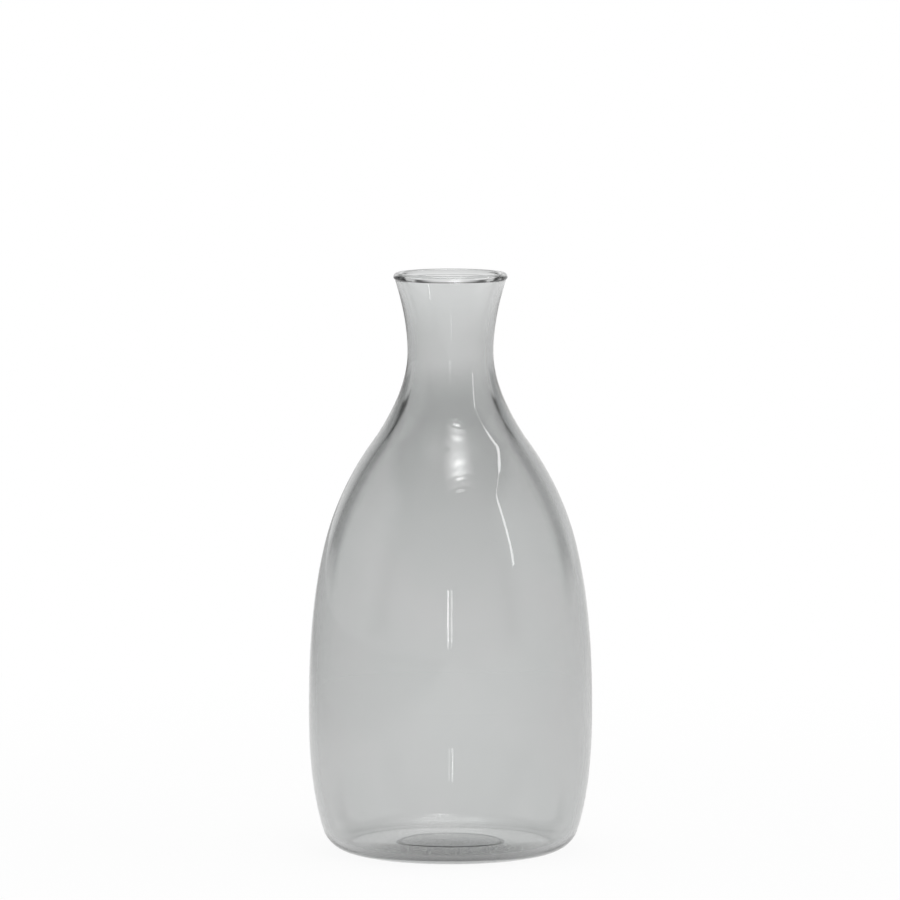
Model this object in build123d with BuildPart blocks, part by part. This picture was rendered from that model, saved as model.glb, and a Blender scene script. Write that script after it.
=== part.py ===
"""A bottle vase of mouth-blown smoke-grey glass, 204 mm tall and 100 mm across.

The vase is one wall of glass, made here as the five zones of a bottle: base, body, shoulder, neck and rim.
Each zone is a ring about the axis. Neighbours meet face to face on a seam that crosses the wall square to
its outer face.

Frame: +Z runs up the axis, and the origin is the middle of the flat ring that the vase stands on.
Lengths are in millimetres and angles in degrees. A lean is the angle that the wall makes with the axis,
positive where the wall opens outward on its way up.
"""

from build123d import *
import os
from dataclasses import dataclass
from math import cos, radians, sin

# Overall sizes
HEIGHT = 204.0
BELLY_DIAMETER = 100.0
BELLY_HEIGHT = 50.0

# Mouth: the outside of the lip, its width, and the rounds along its edges, which leave a narrow level top
MOUTH_DIAMETER = 40.0
LIP_WIDTH = 2.7
LIP_OUTER_RADIUS = 1.6
LIP_INNER_RADIUS = 0.9
LIP_LEAN = 10.0
LIP_INNER_LEAN = 10.0

# Neck: the throat is its narrowest place, this far below the top
THROAT_DIAMETER = 30.2
THROAT_DEPTH = 28.0
THROAT_WALL = 2.6
RIM_WALL = 1.5
RIM_LEAN = 17.5

# Shoulder: where it leaves the body, where it turns from bulging out to hollowing in, and the neck's root,
# where the glass is thickest
SHOULDER_WALL = 2.65
SHOULDER_LEAN = -13.5
TURN_WALL = 3.3
TURN_LEAN = -36.0
ROOT_WALL = 3.85
ROOT_LEAN = -26.5

# Base: the flat ring it stands on, the rounded heel, the floor, and the pushed-up middle and its sloping edge
FOOT_DIAMETER = 70.0
HEEL_RADIUS = 10.5
HEEL_LEAN = 17.0
HEEL_WALL = 2.3
FLOOR_THICKNESS = 2.7
PUNT_DIAMETER = 38.6
PUNT_SLOPE_WIDTH = 2.0
PUNT_RISE = 0.4

# Places on the outline, each as a share of the way up and a share of the way across from one named place to
# the next one up: belly to throat for the shoulder, its turn and the root, throat to lip for the rim
SHOULDER_SHARES = (0.46, 0.16)
TURN_SHARES = (0.751, 0.65)
ROOT_SHARES = (0.845, 0.852)
RIM_SHARES = (0.9685, 0.892)

# Steps along a wall at which its inner face is set in from its outer face
INNER_STEPS = 8

OUTWARD = (1, 0)
INWARD = (-1, 0)


@dataclass
class Place:
    """A place on the outer face: its radius, its height, the wall's lean and the wall's thickness."""

    radius: float
    height: float
    lean: float
    wall: float = 0.0

    @property
    def along(self):
        return (sin(radians(self.lean)), cos(radians(self.lean)))

    @property
    def outer(self):
        return (self.radius, self.height)

    @property
    def inner(self):
        return (
            self.radius - self.wall * cos(radians(self.lean)),
            self.height + self.wall * sin(radians(self.lean)),
        )


def between(low, high, shares, lean, wall=0.0):
    """The place that lies the given shares of the way up and of the way across from low to high."""
    up_share, across_share = shares
    radius = low.radius + (high.radius - low.radius) * across_share
    height = low.height + (high.height - low.height) * up_share
    return Place(radius, height, lean, wall)


def wall_at(height, places):
    """The wall's thickness at a height, which changes evenly from each of the places to the next one up."""
    for low, high in zip(places, places[1:]):
        if height <= high.height:
            share = (height - low.height) / (high.height - low.height)
            return low.wall + (high.wall - low.wall) * share
    return places[-1].wall


def close_wall(outer, *places):
    """Adds the inner face and both seams to an outer curve that runs up through the places."""
    low = places[0]
    high = places[-1]
    inner = [low.inner]
    for step in range(1, INNER_STEPS):
        share = step / INNER_STEPS
        point = outer @ share
        along = outer % share
        wall = wall_at(point.Y, places)
        inner.append((point.X - wall * along.Y, point.Y + wall * along.X))
    inner.append(high.inner)
    Spline(inner, tangents=(low.along, high.along))
    Line(low.outer, low.inner)
    Line(high.outer, high.inner)


def add_middle(axis_point, crown_edge, edge):
    """Adds the pushed-up middle of the base or the floor: level at the axis, then down its sloping edge."""
    Line(axis_point, crown_edge)
    Spline(crown_edge, edge, tangents=(OUTWARD, OUTWARD))


mouth_radius = MOUTH_DIAMETER / 2
foot_radius = FOOT_DIAMETER / 2
punt_radius = PUNT_DIAMETER / 2

# The heel is an arc that leaves the flat ring level and ends at the body's seam
heel = Place(
    foot_radius + HEEL_RADIUS * cos(radians(HEEL_LEAN)),
    HEEL_RADIUS * (1 - sin(radians(HEEL_LEAN))),
    HEEL_LEAN,
    HEEL_WALL,
)
belly = Place(BELLY_DIAMETER / 2, BELLY_HEIGHT, 0)
throat = Place(THROAT_DIAMETER / 2, HEIGHT - THROAT_DEPTH, 0, THROAT_WALL)
shoulder_seam = between(belly, throat, SHOULDER_SHARES, SHOULDER_LEAN, SHOULDER_WALL)
turn = between(belly, throat, TURN_SHARES, TURN_LEAN, TURN_WALL)
root = between(belly, throat, ROOT_SHARES, ROOT_LEAN, ROOT_WALL)

# The lip: its narrow level top, and the places where the rounds along its edges meet the wall's two faces
lip_outer_middle = mouth_radius - LIP_OUTER_RADIUS
lip_inner_middle = mouth_radius - LIP_WIDTH + LIP_INNER_RADIUS
lip_top_outer = (lip_outer_middle, HEIGHT)
lip_top_inner = (lip_inner_middle, HEIGHT)
lip = Place(
    lip_outer_middle + LIP_OUTER_RADIUS * cos(radians(LIP_LEAN)),
    HEIGHT - LIP_OUTER_RADIUS * (1 + sin(radians(LIP_LEAN))),
    LIP_LEAN,
)
lip_inside = Place(
    lip_inner_middle - LIP_INNER_RADIUS * cos(radians(LIP_INNER_LEAN)),
    HEIGHT - LIP_INNER_RADIUS * (1 - sin(radians(LIP_INNER_LEAN))),
    LIP_INNER_LEAN,
)
rim_seam = between(throat, lip, RIM_SHARES, RIM_LEAN, RIM_WALL)

# The corner inside the heel is an arc that leaves the floor level and ends at the body's seam
corner_rise = heel.inner[1] - FLOOR_THICKNESS
corner_radius = corner_rise / (1 - sin(radians(HEEL_LEAN)))
corner_start = (heel.inner[0] - corner_radius * cos(radians(HEEL_LEAN)), FLOOR_THICKNESS)
foot_edge = (foot_radius, 0)

# The pushed-up middle is the same on both faces, a floor's thickness apart
crown_radius = punt_radius - PUNT_SLOPE_WIDTH
punt_middle = (0, PUNT_RISE)
punt_crown = (crown_radius, PUNT_RISE)
punt_edge = (punt_radius, 0)
floor_middle = (0, FLOOR_THICKNESS + PUNT_RISE)
floor_crown = (crown_radius, FLOOR_THICKNESS + PUNT_RISE)
floor_edge = (punt_radius, FLOOR_THICKNESS)

# Base: the pushed-up middle, the flat ring, the heel, and the floor inside
with BuildPart() as base:
    with BuildSketch(Plane.XZ):
        with BuildLine():
            add_middle(punt_middle, punt_crown, punt_edge)
            Line(punt_edge, foot_edge)
            TangentArc(foot_edge, heel.outer, tangent=OUTWARD)
            Line(heel.outer, heel.inner)
            TangentArc(corner_start, heel.inner, tangent=OUTWARD)
            Line(corner_start, floor_edge)
            add_middle(floor_middle, floor_crown, floor_edge)
            Line(floor_middle, punt_middle)
        make_face()
    revolve(axis=Axis.Z)
base.part.label = "base"

# Body: from the heel out to the belly and in again to the shoulder
with BuildPart() as body:
    with BuildSketch(Plane.XZ):
        with BuildLine():
            body_curve = Spline(
                heel.outer,
                belly.outer,
                shoulder_seam.outer,
                tangents=(heel.along, belly.along, shoulder_seam.along),
            )
            close_wall(body_curve, heel, shoulder_seam)
        make_face()
    revolve(axis=Axis.Z)
body.part.label = "body"

# Shoulder: the slope in to the throat, which bulges out below its turn and hollows in above it
with BuildPart() as shoulder:
    with BuildSketch(Plane.XZ):
        with BuildLine():
            shoulder_curve = Spline(
                shoulder_seam.outer,
                turn.outer,
                root.outer,
                throat.outer,
                tangents=(shoulder_seam.along, turn.along, root.along, throat.along),
            )
            close_wall(shoulder_curve, shoulder_seam, turn, root, throat)
        make_face()
    revolve(axis=Axis.Z)
shoulder.part.label = "shoulder"

# Neck: the flare from the throat to the rim
with BuildPart() as neck:
    with BuildSketch(Plane.XZ):
        with BuildLine():
            neck_curve = Spline(throat.outer, rim_seam.outer, tangents=(throat.along, rim_seam.along))
            close_wall(neck_curve, throat, rim_seam)
        make_face()
    revolve(axis=Axis.Z)
neck.part.label = "neck"

# Rim: the rounded lip, which stands a little proud of the neck on both faces
with BuildPart() as rim:
    with BuildSketch(Plane.XZ):
        with BuildLine():
            Spline(rim_seam.outer, lip.outer, tangents=(rim_seam.along, lip.along))
            TangentArc(lip.outer, lip_top_outer, tangent=lip.along)
            Line(lip_top_outer, lip_top_inner)
            TangentArc(lip_top_inner, lip_inside.outer, tangent=INWARD)
            Spline(rim_seam.inner, lip_inside.outer, tangents=(rim_seam.along, lip_inside.along))
            Line(rim_seam.outer, rim_seam.inner)
        make_face()
    revolve(axis=Axis.Z)
rim.part.label = "rim"

os.makedirs("parts", exist_ok=True)
for zone in (base, body, shoulder, neck, rim):
    export_step(zone.part, f"parts/{zone.part.label}.step")
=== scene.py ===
"""The looks of the bottle vase: one wall of blown glass in place of the five CAD zones, on a pale floor.

Lengths are in metres, in the CAD model's frame: +Z runs up the axis, and the origin is under the middle.
A lean is the angle, in degrees, between the wall and the axis, positive where the wall opens on its way up.
A value whose name ends in RAMP holds four numbers: where the ramp starts and ends, and its level at each.
"""
import math

import bpy
from mathutils import Matrix, Vector, noise


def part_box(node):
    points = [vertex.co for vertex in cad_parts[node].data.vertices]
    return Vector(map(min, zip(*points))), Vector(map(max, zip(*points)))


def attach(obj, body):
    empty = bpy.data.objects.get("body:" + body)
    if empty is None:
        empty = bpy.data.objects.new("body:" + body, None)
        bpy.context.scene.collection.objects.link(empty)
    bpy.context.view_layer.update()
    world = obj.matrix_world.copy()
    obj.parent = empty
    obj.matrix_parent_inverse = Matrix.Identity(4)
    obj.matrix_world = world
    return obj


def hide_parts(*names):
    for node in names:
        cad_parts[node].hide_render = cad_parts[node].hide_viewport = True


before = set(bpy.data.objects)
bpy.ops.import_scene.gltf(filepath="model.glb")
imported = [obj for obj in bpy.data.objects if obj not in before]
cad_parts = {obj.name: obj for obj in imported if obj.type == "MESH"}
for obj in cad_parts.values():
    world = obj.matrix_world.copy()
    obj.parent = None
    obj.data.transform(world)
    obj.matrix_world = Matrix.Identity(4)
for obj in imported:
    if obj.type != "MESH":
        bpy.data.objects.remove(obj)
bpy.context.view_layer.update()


def ring_radius(node):
    """The radius of a ring of the frame: the least reach of its box from the axis."""
    low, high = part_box(node)
    return min(-low.x, -low.y, high.x, high.y)


# Overall sizes, read from the frame
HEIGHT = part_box("rim")[1].z
MOUTH_RADIUS = ring_radius("rim")
BELLY_RADIUS = ring_radius("body")
THROAT_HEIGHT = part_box("neck")[0].z
VASE_MIDDLE = Vector((0, 0, HEIGHT / 2))

# The rest of the outline, as the CAD model has it
LIP_WIDTH = 0.0027
LIP_OUTER_EDGE = 0.0016
LIP_INNER_EDGE = 0.0009
LIP_LEAN = 10.0
LIP_INNER_LEAN = 10.0
RIM_LEAN = 17.5
RIM_SHARES = (0.9685, 0.892)
THROAT_RADIUS = 0.0151
ROOT_LEAN = -26.5
ROOT_SHARES = (0.845, 0.852)
TURN_LEAN = -36.0
TURN_SHARES = (0.751, 0.650)
SHOULDER_LEAN = -13.5
SHOULDER_SHARES = (0.46, 0.16)
BELLY_HEIGHT = 0.050
FOOT_RADIUS = 0.035
HEEL_RADIUS = 0.0105
HEEL_LEAN = 17.0
CORNER_RADIUS = 0.0076
PUNT_RADIUS = 0.0193
PUNT_SLOPE = 0.0020
PUNT_RISE = 0.0004

# Wall of the glass at each named place, from the rim down
RIM_WALL = 0.0015
THROAT_WALL = 0.0026
ROOT_WALL = 0.00385
TURN_WALL = 0.0033
SHOULDER_WALL = 0.00265
BELLY_WALL = 0.00245
HEEL_WALL = 0.0023
FLOOR_WALL = 0.0027

# Unevenness of the blown wall: how far its inner face strays, and over what length
WAVE_DEPTH = 0.00010
WAVE_LENGTH = 0.030

# How finely the glass is meshed, and how near two points of its section are one
SEGMENTS = 200
STRETCH_STEPS = 26
ARC_STEPS = 18
SAME_POINT = 1e-6

# The glass: how it bends light, what it takes out of it per metre, and the two tints it wavers between
GLASS_IOR = 1.5
GLASS_COLOUR = (0.20, 0.215, 0.21, 1)
GLASS_DENSITY = 134.0
TINT_NONE = (1.0, 1.0, 1.0, 1)
TINT_COOL = (0.985, 0.992, 0.99, 1)
TINT_RAMP = (0.35, 0.65, 0.0, 1.0)

# Its finish: the duller top of the lip, smudges, scuffs under the foot, and cords drawn out in the glass
LIP_ROUGHNESS = 0.08
LIP_DULL_SHARES = (0.7, 0.5)
SMUDGE_RAMP = (0.55, 0.75, 0.0, 0.04)
FOOT_RAMP = (0.0001, 0.0006, 1.0, 0.0)
SCUFF_RAMP = (0.45, 0.65, 0.05, 0.35)
CORD_HEIGHT = 0.00001
CORD_STRETCH = (1, 1, 0.12)

# Noise in the glass: its scale and its detail
TINT_NOISE = (30, 2)
SMUDGE_NOISE = (45, 3)
SCUFF_NOISE = (900, 3)
CORD_NOISE = (160, 2)

# The floor: its size, its colour, and how much of it glows by itself, by distance from the vase
FLOOR_RADIUS = 30.0
FLOOR_CORNERS = 96
FLOOR_COLOUR = (0.9, 0.9, 0.9, 1)
FLOOR_GLOW_RAMP = (0.05, 0.50, 0.94, 1.0)

# Painted shade in the floor's glow: a painted shadow under the front of the vase, and painted shade away to
# the left and the right
PAINTED_SHADOW_CENTRE = (0, -0.016, 0)
PAINTED_SHADOW_STRETCH = (0.8, 1, 1)
PAINTED_SHADOW_RAMP = (0.012, 0.034, 0.06, 0.95)
LEFT_PAINTED_SHADE_RAMP = (-0.42, -0.12, 0.52, 1.0)
RIGHT_PAINTED_SHADE_RAMP = (0.22, 0.50, 1.0, 0.88)

# The studio round the vase: which way its parts face, and how they fade round the vase and with height
BACKDROP_TURN = 4.0
BACKDROP_RAMP = (0.669, 0.891, 0.03, 1.0)
BACKDROP_TOP_RAMP = (0.31, 0.45, 1.0, 0.05)
SIDES_TURN = 2.0
SIDES_RAMP = (0.588, 0.454, 0.0, 0.9)
SIDES_FRONT_RAMP = (-0.25, -0.75, 1.0, 0.1)
SIDES_TOP_RAMP = (0.57, 0.72, 1.0, 0.06)
LOW_RAMP = (0.0, 0.12, 0.8, 0.03)
FRONT_RAMP = (-0.3, -0.8, 0.0, 1.0)
FRONT_TOP_RAMP = (0.0, 0.5, 0.8, 0.1)
CEILING_RAMP = (0.80, 0.95, 0.03, 1.0)

# Lamps above the vase: name, start and end of the middle line, width, radiance, and sides it fades along
LAMPS = (
    ("key", (0.187, -0.697, 1.106), (0.131, -0.490, 1.236), 0.75, 4.5, (1, 0, 0)),
    ("key_core", (0.176, -0.658, 1.135), (0.150, -0.560, 1.199), 0.45, 7, (1, 1, 0)),
    ("key_spot", (0.196, -0.732, 1.079), (0.191, -0.714, 1.094), 0.30, 9, (1, 0, 0)),
    ("overhead", (0.0, -0.25, 1.40), (0.0, 0.45, 1.40), 0.8, 3.5, None),
)

# Upright lines of light far in front of the vase, written as the lamps are
LINES = (
    ("line_left", (-0.13, -4.0, 0.26), (-0.13, -4.0, 0.99), 0.07, 8, None),
    ("line_right", (0.08, -4.0, 0.26), (0.08, -4.0, 0.99), 0.07, 4.5, None),
)
LAMP_CENTRE = (0.5, 0.5, 0)
LAMP_FADE_RAMP = (0.0, 0.5, 1.0, 0.0)

# The ribbon of light at the right: its distance, its strength, and places on it as (Y, Z)
STRIP_DISTANCE = 1.0
STRIP_STRENGTH = 8.0
STRIP_FOOT = Vector((-0.613, 0.41))
STRIP_TOP = Vector((-0.613, 1.03))
STRIP_BEND_END = Vector((-0.50, 1.108))
STRIP_END = Vector((0.40, 1.25))
STRIP_END_ALONG = Vector((0.95, 0.31))
STRIP_BEND_STEPS = 12
STRIP_BAR_STEPS = 24

# Places along the ribbon, by their Y, and half its width at each
STRIP_STOPS = ((-0.613, 0.029), (-0.553, 0.005), (-0.30, 0.005), (-0.15, 0.040), (0.40, 0.045))

# Camera, as the photograph was taken: far off, through a long lens, looking a little down
CAMERA_DISTANCE = 2.467
CAMERA_ELEVATION = 6.66
CAMERA_LENS = 280.4
CAMERA_REACH = 100
SENSOR_WIDTH = 36.0
IMAGE_SIDE = 900
VASE_MIDDLE_PIXEL = (450.5, 561.5)

# How often light may turn in the glass
GLASS_BOUNCES = 32
MIRROR_BOUNCES = 16

OUTWARD = Vector((1, 0))
UPWARD = Vector((0, 1))


class Place:
    """A place on the outer face of the wall: its radius, height, lean and wall."""

    def __init__(self, radius, height, lean, wall=0.0):
        self.point = Vector((radius, height))
        angle = math.radians(lean)
        self.along = Vector((math.sin(angle), math.cos(angle)))
        self.wall = wall

    @property
    def inner(self):
        return self.point + self.wall * inward(self.along)


def inward(along):
    """The direction from the outer face towards the axis, square to a wall that runs this way."""
    return Vector((-along.y, along.x))


def between(low, high, shares, lean, wall):
    """The place that lies the given shares of the way up and of the way across from low to high."""
    up_share, across_share = shares
    radius = low.point.x + (high.point.x - low.point.x) * across_share
    height = low.point.y + (high.point.y - low.point.y) * up_share
    return Place(radius, height, lean, wall)


def curve(start, start_along, end, end_along, steps):
    """Points and directions of the smooth curve between two points that leaves and arrives as told."""
    reach = (end - start).length
    found = []
    for step in range(steps + 1):
        t = step / steps
        point = (
            start * (2 * t**3 - 3 * t**2 + 1)
            + end * (3 * t**2 - 2 * t**3)
            + start_along * reach * (t**3 - 2 * t**2 + t)
            + end_along * reach * (t**3 - t**2)
        )
        slope = (
            (end - start) * (6 * t - 6 * t**2)
            + start_along * reach * (3 * t**2 - 4 * t + 1)
            + end_along * reach * (3 * t**2 - 2 * t)
        )
        found.append((point, slope.normalized()))
    return found


def curve_points(start, start_along, end, end_along, steps):
    """The points alone of such a curve."""
    return [point for point, _ in curve(start, start_along, end, end_along, steps)]


def on_circle(centre, radius, degrees):
    """The point of a circle at an angle from the outward direction."""
    angle = math.radians(degrees)
    return centre + radius * Vector((math.cos(angle), math.sin(angle)))


def arc(centre, radius, start_degrees, end_degrees):
    """Points of a circular arc from one angle to another."""
    found = []
    for step in range(ARC_STEPS + 1):
        degrees = start_degrees + (end_degrees - start_degrees) * step / ARC_STEPS
        found.append(on_circle(centre, radius, degrees))
    return found


def wall_faces(places):
    """The outer and the inner points of the wall that runs up through the given places."""
    outer = []
    inner = []
    for low, high in zip(places, places[1:]):
        stretch = curve(low.point, low.along, high.point, high.along, STRETCH_STEPS)
        for step, (point, along) in enumerate(stretch):
            share = step / STRETCH_STEPS
            eased = share * share * (3 - 2 * share)
            wall = low.wall + (high.wall - low.wall) * eased
            outer.append(point)
            inner.append(point + wall * inward(along))
    return outer, inner


def lip_rounds():
    """The top of the lip from its outer to its inner face, with a round along each edge."""
    outer_centre = Vector((MOUTH_RADIUS - LIP_OUTER_EDGE, HEIGHT - LIP_OUTER_EDGE))
    inner_centre = Vector((MOUTH_RADIUS - LIP_WIDTH + LIP_INNER_EDGE, HEIGHT - LIP_INNER_EDGE))
    return [
        *arc(outer_centre, LIP_OUTER_EDGE, -LIP_LEAN, 90),
        *arc(inner_centre, LIP_INNER_EDGE, 90, 180 - LIP_INNER_LEAN),
    ]


def inner_corner(heel):
    """The round inside the heel, from the wall down to the floor."""
    top = FLOOR_WALL + CORNER_RADIUS * (1 - heel.along.x)
    start = heel.inner - heel.along * (heel.inner.y - top) / heel.along.y
    return arc(start + CORNER_RADIUS * inward(heel.along), CORNER_RADIUS, -HEEL_LEAN, -90)


def pushed_up(height):
    """The middle of the base or the floor, out from the axis: a level top, and its slope to this height."""
    top = Vector((PUNT_RADIUS - PUNT_SLOPE, height + PUNT_RISE))
    edge = Vector((PUNT_RADIUS, height))
    return [Vector((0, height + PUNT_RISE)), *curve_points(top, OUTWARD, edge, OUTWARD, ARC_STEPS)]


def glass_section():
    """The section of the glass: from the axis up the outer face and over the lip, then down the inner."""
    rounds = lip_rounds()
    lip = Place(*rounds[0], LIP_LEAN)
    lip_inside = Place(*rounds[-1], LIP_INNER_LEAN)
    heel_centre = Vector((FOOT_RADIUS, HEEL_RADIUS))
    heel = Place(*on_circle(heel_centre, HEEL_RADIUS, -HEEL_LEAN), HEEL_LEAN, HEEL_WALL)
    belly = Place(BELLY_RADIUS, BELLY_HEIGHT, 0, BELLY_WALL)
    throat = Place(THROAT_RADIUS, THROAT_HEIGHT, 0, THROAT_WALL)
    shoulder = between(belly, throat, SHOULDER_SHARES, SHOULDER_LEAN, SHOULDER_WALL)
    turn = between(belly, throat, TURN_SHARES, TURN_LEAN, TURN_WALL)
    root = between(belly, throat, ROOT_SHARES, ROOT_LEAN, ROOT_WALL)
    rim = between(throat, lip, RIM_SHARES, RIM_LEAN, RIM_WALL)
    outer, inner = wall_faces([heel, belly, shoulder, turn, root, throat, rim])
    outer += curve_points(rim.point, rim.along, lip.point, lip.along, ARC_STEPS)
    inner += curve_points(rim.inner, rim.along, lip_inside.point, lip_inside.along, ARC_STEPS)
    heel_arc = arc(heel_centre, HEEL_RADIUS, -90, -HEEL_LEAN)
    under = [*pushed_up(0), *heel_arc, *outer, *rounds]
    inside = [*reversed(inner), *inner_corner(heel), *reversed(pushed_up(FLOOR_WALL))]
    return without_repeats(under), without_repeats(inside)


def without_repeats(points):
    """The points, less those that lie on the one before."""
    kept = [points[0]]
    for point in points[1:]:
        if (point - kept[-1]).length > SAME_POINT:
            kept.append(point)
    return kept


def stray(place):
    """How far the inner face of the blown wall strays towards the axis at a place."""
    return WAVE_DEPTH * noise.noise(place / WAVE_LENGTH)


def add_mesh(name, vertices, faces, material):
    """A new object in the scene, with a mesh of these vertices and faces in this material."""
    mesh = bpy.data.meshes.new(name)
    mesh.from_pydata(vertices, [], faces)
    mesh.materials.append(material)
    holder = bpy.data.objects.new(name, mesh)
    bpy.context.scene.collection.objects.link(holder)
    return holder


def lathe(name, under, inside, material):
    """A closed mesh of the section turned about the axis, with the inner face a little uneven."""
    section = without_repeats([*under, *inside])
    rings = section[1:-1]
    first_inside = len(under)
    vertices = [(0, 0, section[0].y)]
    for number, point in enumerate(rings, start=1):
        for segment in range(SEGMENTS):
            angle = 2 * math.pi * segment / SEGMENTS
            outward = Vector((math.cos(angle), math.sin(angle), 0))
            place = point.x * outward + Vector((0, 0, point.y))
            if number >= first_inside:
                place -= stray(place) * outward
            vertices.append(tuple(place))
    vertices.append((0, 0, section[-1].y))
    faces = []
    top = len(vertices) - 1
    last = 1 + (len(rings) - 1) * SEGMENTS
    for segment in range(SEGMENTS):
        after = (segment + 1) % SEGMENTS
        faces.append((0, 1 + after, 1 + segment))
        faces.append((top, last + segment, last + after))
        for ring in range(len(rings) - 1):
            low = 1 + ring * SEGMENTS
            high = low + SEGMENTS
            faces.append((low + segment, low + after, high + after, high + segment))
    turned = add_mesh(name, vertices, faces, material)
    turned.data.shade_smooth()
    return turned


def add_node(tree, kind, **settings):
    """A new node of this kind, with its properties set."""
    node = tree.nodes.new(kind)
    for name, value in settings.items():
        setattr(node, name, value)
    return node


def ramp(tree, source, start, end, low, high):
    """Eases from low to high while the source goes from start to end."""
    node = add_node(tree, "ShaderNodeMapRange", interpolation_type="SMOOTHSTEP")
    for socket, value in (("From Min", start), ("From Max", end), ("To Min", low), ("To Max", high)):
        node.inputs[socket].default_value = value
    tree.links.new(source, node.inputs["Value"])
    return node.outputs["Result"]


def combine(tree, operation, first, *others):
    """Sources or numbers taken together by an operation, one after the other."""
    result = first
    for other in others:
        node = add_node(tree, "ShaderNodeMath", operation=operation)
        for socket, value in zip(node.inputs, (result, other)):
            if isinstance(value, (int, float)):
                socket.default_value = value
            else:
                tree.links.new(value, socket)
        result = node.outputs[0]
    return result


def only_for(tree, ray, value):
    """The value for rays of this kind, and 1 for all others."""
    return combine(tree, "MAXIMUM", value, combine(tree, "SUBTRACT", 1.0, ray))


def with_vector(tree, operation, place, vector, output=0):
    """A place taken together with a fixed vector by an operation."""
    node = add_node(tree, "ShaderNodeVectorMath", operation=operation)
    node.inputs[1].default_value = vector
    tree.links.new(place, node.inputs[0])
    return node.outputs[output]


def coordinate(tree, place, axis):
    """One coordinate of a place."""
    node = add_node(tree, "ShaderNodeSeparateXYZ")
    tree.links.new(place, node.inputs[0])
    return node.outputs[axis]


def distance(tree, place, centre, stretch):
    """How far a place is from a centre, with each axis stretched by its own factor first."""
    offset = with_vector(tree, "SUBTRACT", place, centre)
    length = add_node(tree, "ShaderNodeVectorMath", operation="LENGTH")
    tree.links.new(with_vector(tree, "MULTIPLY", offset, stretch), length.inputs[0])
    return length.outputs["Value"]


def towards(tree, direction, turn):
    """How nearly a level direction points to the back, turned by some degrees: 1 there, -1 in front."""
    angle = math.radians(turn)
    return with_vector(tree, "DOT_PRODUCT", direction, (math.sin(angle), math.cos(angle), 0), "Value")


def noise_at(tree, place, scale, detail):
    """Noise in the object's own space, finer where the scale is larger."""
    node = add_node(tree, "ShaderNodeTexNoise")
    node.inputs["Scale"].default_value = scale
    node.inputs["Detail"].default_value = detail
    tree.links.new(place, node.inputs["Vector"])
    return node.outputs["Fac"]


def bare_material(name):
    """A new material without a shader."""
    material = bpy.data.materials.new(name)
    material.use_nodes = True
    material.node_tree.nodes.remove(material.node_tree.nodes["Principled BSDF"])
    return material


def dullness(tree, place):
    """How rough the glass is: the top of the lip, smudges here and there, and scuffs under the foot."""
    height = coordinate(tree, place, "Z")
    lip_start, lip_end = (HEIGHT - share * LIP_WIDTH for share in LIP_DULL_SHARES)
    lip = ramp(tree, height, lip_start, lip_end, 0.0, LIP_ROUGHNESS)
    foot = ramp(tree, height, *FOOT_RAMP)
    scuffs = ramp(tree, noise_at(tree, place, *SCUFF_NOISE), *SCUFF_RAMP)
    smudges = ramp(tree, noise_at(tree, place, *SMUDGE_NOISE), *SMUDGE_RAMP)
    return combine(tree, "MAXIMUM", combine(tree, "MULTIPLY", foot, scuffs), lip, smudges)


def cords(tree, place):
    """The normals of a face with fine cords, drawn out along the axis."""
    drawn = with_vector(tree, "MULTIPLY", place, CORD_STRETCH)
    bump = add_node(tree, "ShaderNodeBump")
    bump.inputs["Strength"].default_value = 1.0
    bump.inputs["Distance"].default_value = CORD_HEIGHT
    tree.links.new(noise_at(tree, drawn, *CORD_NOISE), bump.inputs["Height"])
    return bump.outputs["Normal"]


def glass_material():
    """Smoke-grey glass: it absorbs light on its way through, and its tint and finish are a touch uneven."""
    material = bpy.data.materials.new("smoke_glass")
    material.use_nodes = True
    tree = material.node_tree
    shader = tree.nodes["Principled BSDF"]
    shader.inputs["IOR"].default_value = GLASS_IOR
    shader.inputs["Transmission Weight"].default_value = 1.0
    place = add_node(tree, "ShaderNodeTexCoord").outputs["Object"]
    tree.links.new(dullness(tree, place), shader.inputs["Roughness"])
    tint = add_node(tree, "ShaderNodeMix", data_type="RGBA")
    tint.inputs["A"].default_value = TINT_NONE
    tint.inputs["B"].default_value = TINT_COOL
    tree.links.new(ramp(tree, noise_at(tree, place, *TINT_NOISE), *TINT_RAMP), tint.inputs["Factor"])
    tree.links.new(tint.outputs["Result"], shader.inputs["Base Color"])
    tree.links.new(cords(tree, place), shader.inputs["Normal"])
    absorb = add_node(tree, "ShaderNodeVolumeAbsorption")
    absorb.inputs["Color"].default_value = GLASS_COLOUR
    absorb.inputs["Density"].default_value = GLASS_DENSITY
    tree.links.new(absorb.outputs["Volume"], tree.nodes["Material Output"].inputs["Volume"])
    return material


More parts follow.
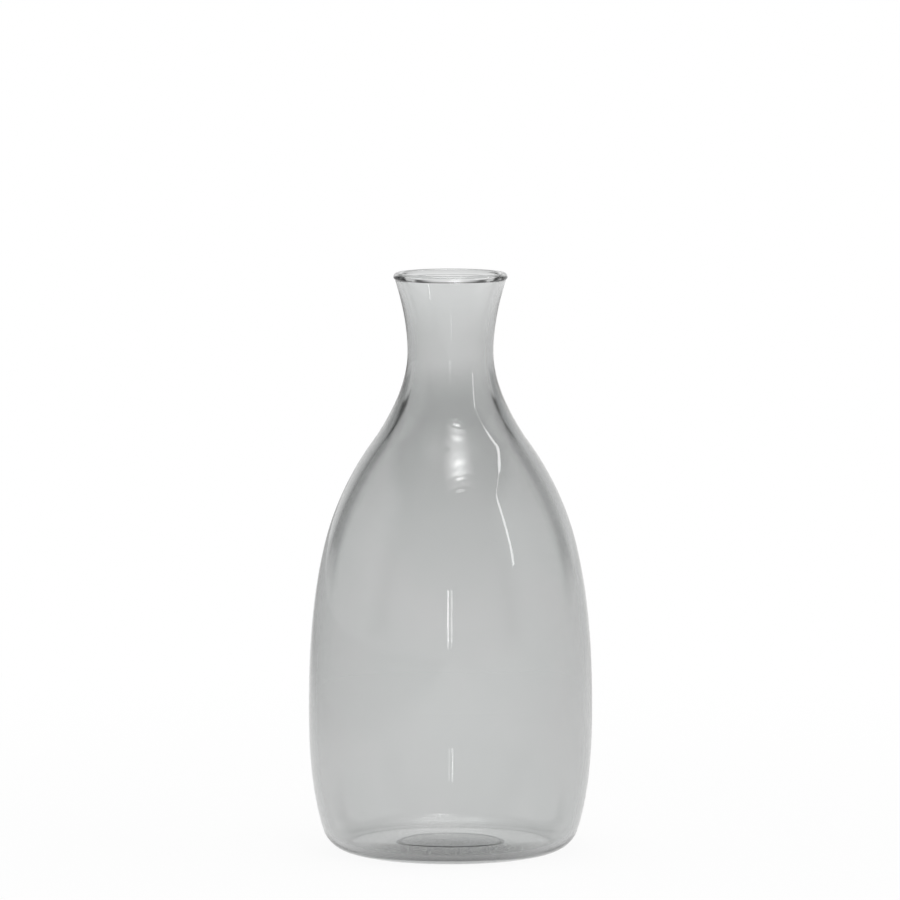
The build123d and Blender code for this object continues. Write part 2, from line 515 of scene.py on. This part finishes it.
def floor_material():
    """White to the camera and in the glass, with a share of light from the lamps, so that it takes a shadow.

    Seen through the glass, a painted shadow darkens it under the front of the vase, where the base keeps the
    light out.
    Mirrored in the glass, painted shade darkens it away to the left and, less, to the right.
    """
    material = bare_material("pale_floor")
    tree = material.node_tree
    path = add_node(tree, "ShaderNodeLightPath").outputs
    through = path["Is Transmission Ray"]
    place = add_node(tree, "ShaderNodeTexCoord").outputs["Object"]
    seen = combine(tree, "MAXIMUM", path["Is Camera Ray"], path["Is Glossy Ray"], through)
    from_axis = distance(tree, place, (0, 0, 0), (1, 1, 1))
    seen = combine(tree, "MULTIPLY", seen, ramp(tree, from_axis, *FLOOR_GLOW_RAMP))
    # Painted shadow: the glow is dimmed under the front of the vase, for rays that come through the glass
    from_painted_shadow = distance(tree, place, PAINTED_SHADOW_CENTRE, PAINTED_SHADOW_STRETCH)
    painted_shadow = only_for(tree, through, ramp(tree, from_painted_shadow, *PAINTED_SHADOW_RAMP))
    # Painted shade: the glow is dimmed away to the left and the right, for rays the glass mirrors
    across = coordinate(tree, place, "X")
    aside = combine(tree, "MULTIPLY", ramp(tree, across, *LEFT_PAINTED_SHADE_RAMP), ramp(tree, across, *RIGHT_PAINTED_SHADE_RAMP))
    aside = only_for(tree, path["Is Reflection Ray"], aside)
    lit = add_node(tree, "ShaderNodeBsdfDiffuse")
    lit.inputs["Color"].default_value = FLOOR_COLOUR
    glow = add_node(tree, "ShaderNodeEmission")
    # The glow's strength carries both the painted shadow and the painted shade
    tree.links.new(combine(tree, "MULTIPLY", painted_shadow, aside), glow.inputs["Strength"])
    mix = add_node(tree, "ShaderNodeMixShader")
    tree.links.new(seen, mix.inputs["Fac"])
    tree.links.new(lit.outputs[0], mix.inputs[1])
    tree.links.new(glow.outputs[0], mix.inputs[2])
    tree.links.new(mix.outputs[0], tree.nodes["Material Output"].inputs["Surface"])
    return material


def add_floor():
    """A wide round floor, level with the foot of the vase."""
    angles = [2 * math.pi * corner / FLOOR_CORNERS for corner in range(FLOOR_CORNERS)]
    corners = [(FLOOR_RADIUS * math.cos(angle), FLOOR_RADIUS * math.sin(angle), 0) for angle in angles]
    floor = add_mesh("floor", corners, [tuple(range(FLOOR_CORNERS))], floor_material())


def add_world():
    """The studio: a backdrop, bright sides, a low glow, a lit front and a ceiling, and dark between them."""
    world = bpy.data.worlds.new("studio")
    bpy.context.scene.world = world
    world.use_nodes = True
    tree = world.node_tree
    direction = add_node(tree, "ShaderNodeTexCoord").outputs["Generated"]
    height = coordinate(tree, direction, "Z")
    level = add_node(tree, "ShaderNodeVectorMath", operation="NORMALIZE")
    tree.links.new(with_vector(tree, "MULTIPLY", direction, (1, 1, 0)), level.inputs[0])
    to_backdrop = towards(tree, level.outputs[0], BACKDROP_TURN)
    between_sides = towards(tree, level.outputs[0], SIDES_TURN)
    backdrop = combine(
        tree, "MULTIPLY", ramp(tree, to_backdrop, *BACKDROP_RAMP), ramp(tree, height, *BACKDROP_TOP_RAMP)
    )
    sides = combine(
        tree,
        "MULTIPLY",
        ramp(tree, between_sides, *SIDES_RAMP),
        ramp(tree, to_backdrop, *SIDES_FRONT_RAMP),
        ramp(tree, height, *SIDES_TOP_RAMP),
    )
    low = ramp(tree, height, *LOW_RAMP)
    front = combine(
        tree, "MULTIPLY", ramp(tree, to_backdrop, *FRONT_RAMP), ramp(tree, height, *FRONT_TOP_RAMP)
    )
    ceiling = ramp(tree, height, *CEILING_RAMP)
    shone = combine(tree, "MAXIMUM", backdrop, sides, low, front, ceiling)
    tree.links.new(shone, tree.nodes["Background"].inputs["Color"])


def add_lamp(name, start, end, width, radiance, fades):
    """A rectangular lamp that runs from start to end and faces the vase, even or fading to its edges."""
    start = Vector(start)
    end = Vector(end)
    length = (end - start).length
    lamp = bpy.data.lights.new(name, "AREA")
    lamp.shape = "RECTANGLE"
    lamp.size = width
    lamp.size_y = length
    lamp.energy = radiance * math.pi * width * length
    holder = bpy.data.objects.new(name, lamp)
    centre = (start + end) / 2
    away = (centre - VASE_MIDDLE).normalized()
    across = (end - start).normalized().cross(away).normalized()
    along = away.cross(across)
    turn = Matrix((across, along, away)).transposed().to_4x4()
    holder.matrix_world = Matrix.Translation(centre) @ turn
    holder.visible_camera = False
    bpy.context.scene.collection.objects.link(holder)
    if fades:
        lamp.use_nodes = True
        tree = lamp.node_tree
        place = add_node(tree, "ShaderNodeNewGeometry").outputs["Parametric"]
        from_centre = distance(tree, place, LAMP_CENTRE, fades)
        tree.links.new(ramp(tree, from_centre, *LAMP_FADE_RAMP), tree.nodes["Emission"].inputs["Strength"])


def strip_material():
    """A plain bright light."""
    material = bare_material("strip_light")
    tree = material.node_tree
    glow = add_node(tree, "ShaderNodeEmission")
    glow.inputs["Strength"].default_value = STRIP_STRENGTH
    tree.links.new(glow.outputs[0], tree.nodes["Material Output"].inputs["Surface"])
    return material


def strip_half_width(along):
    """Half the width of the ribbon of light at a place along it, which changes evenly from stop to stop."""
    for (start, start_half), (end, end_half) in zip(STRIP_STOPS, STRIP_STOPS[1:]):
        if along <= end:
            return start_half + (end_half - start_half) * (along - start) / (end - start)
    return STRIP_STOPS[-1][1]


def add_strip():
    """A bent ribbon of light at the right: upright, then over to a bar that runs back.

    It shows where the glass mirrors it, and not in what comes through the glass.
    """
    bend = curve_points(STRIP_TOP, UPWARD, STRIP_BEND_END, OUTWARD, STRIP_BEND_STEPS)
    bar = curve_points(STRIP_BEND_END, OUTWARD, STRIP_END, STRIP_END_ALONG, STRIP_BAR_STEPS)
    middle = [STRIP_FOOT, *bend, *bar[1:]]
    vertices = []
    for number, point in enumerate(middle):
        before = middle[max(number - 1, 0)]
        after = middle[min(number + 1, len(middle) - 1)]
        aside = inward((after - before).normalized())
        half = strip_half_width(point.x)
        for side in (-half, half):
            spot = point + aside * side
            vertices.append((STRIP_DISTANCE, spot.x, spot.y))
    faces = [(2 * i, 2 * i + 1, 2 * i + 3, 2 * i + 2) for i in range(len(middle) - 1)]
    strip = add_mesh("strip", vertices, faces, strip_material())
    strip.visible_transmission = False


def add_camera():
    """The photograph's camera: the middle of the vase falls on its pixel."""
    camera = bpy.data.cameras.new("camera")
    camera.lens = CAMERA_LENS
    camera.sensor_width = SENSOR_WIDTH
    camera.clip_end = CAMERA_REACH
    holder = bpy.data.objects.new("camera", camera)
    elevation = math.radians(CAMERA_ELEVATION)
    holder.location = VASE_MIDDLE + CAMERA_DISTANCE * Vector((0, -math.cos(elevation), math.sin(elevation)))
    focal_pixels = CAMERA_LENS / SENSOR_WIDTH * IMAGE_SIDE
    up = math.atan((VASE_MIDDLE_PIXEL[1] - IMAGE_SIDE / 2) / focal_pixels)
    aside = math.atan((IMAGE_SIDE / 2 - VASE_MIDDLE_PIXEL[0]) / focal_pixels)
    holder.rotation_euler = (math.pi / 2 - elevation + up, 0, -aside)
    bpy.context.scene.collection.objects.link(holder)
    bpy.context.scene.camera = holder


vase = lathe("vase_glass", *glass_section(), glass_material())
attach(vase, "root")
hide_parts("base", "body", "shoulder", "neck", "rim")

add_floor()
add_world()
for lamp in LAMPS:
    add_lamp(*lamp)
add_strip()
for line in LINES:
    add_lamp(*line)
add_camera()

scene = bpy.context.scene
scene.view_settings.view_transform = "Standard"
scene.cycles.max_bounces = GLASS_BOUNCES
scene.cycles.transmission_bounces = GLASS_BOUNCES
scene.cycles.glossy_bounces = MIRROR_BOUNCES
